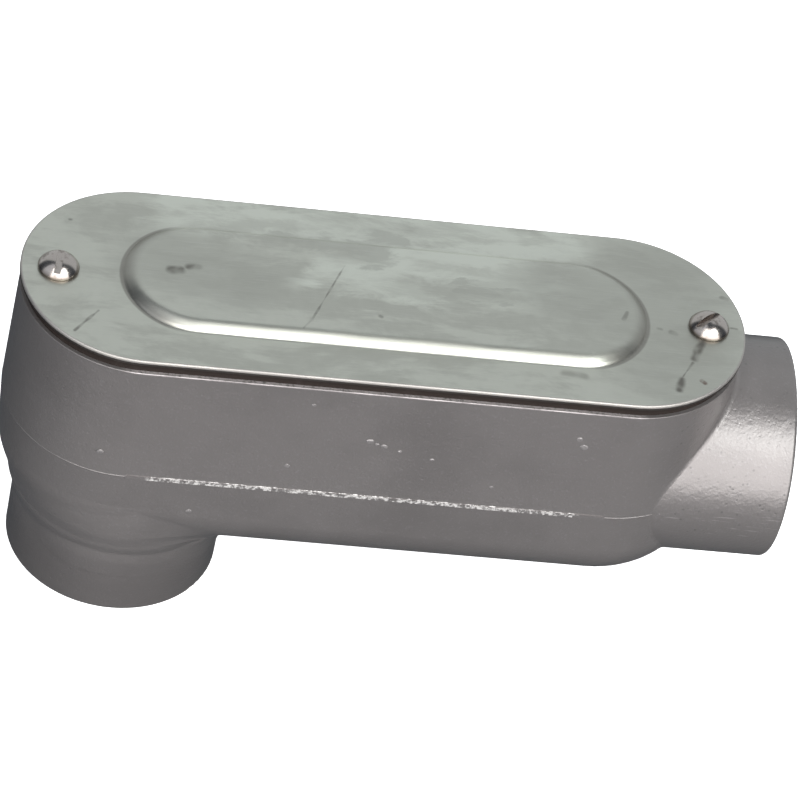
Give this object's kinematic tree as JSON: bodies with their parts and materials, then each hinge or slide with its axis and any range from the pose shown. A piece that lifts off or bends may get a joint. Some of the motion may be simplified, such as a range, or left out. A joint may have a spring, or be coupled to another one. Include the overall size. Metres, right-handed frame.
{
  "type": "conduit body",
  "caption": "Angled conduit body with a threaded hub out of its back and another out of its end, closed by a gasketed cover held with slotted screws.",
  "frame": {"origin": "centre of the back hub's mouth, where the conduit goes in", "axes": "+Z from the back hub towards the cover, +X out of the end hub, Y across the box"},
  "size_m": [0.1767, 0.0556, 0.0844],
  "materials": {
    "painted_casting": "grey paint with a slight metallic sheen over die-cast aluminium",
    "cover_steel": "bare stamped sheet steel, cloudy, fine brushed",
    "gasket_rubber": "matt black",
    "screw_steel": "bright plated"
  },
  "bodies": {
    "box": {"body_casting": "painted_casting", "cover_gasket": "gasket_rubber"},
    "cover": {"cover_plate": "cover_steel"},
    "back_end_screw": {"cover_screw_back_hub_end": "screw_steel"},
    "hub_end_screw": {"cover_screw_end_hub_end": "screw_steel"}
  },
  "joints": [
    {"name": "cover_lift", "type": "slide", "parent": "box", "child": "cover", "axis": [0, 0, 1], "range_m": [0, 0.04]},
    {"name": "back_end_screw_turn", "type": "hinge", "parent": "cover", "child": "back_end_screw", "pos_m": [-0.0221, 0, 0.081], "axis": [0, 0, 1], "continuous": true},
    {"name": "hub_end_screw_turn", "type": "hinge", "parent": "cover", "child": "hub_end_screw", "pos_m": [0.1239, 0, 0.081], "axis": [0, 0, 1], "continuous": true}
  ]
}
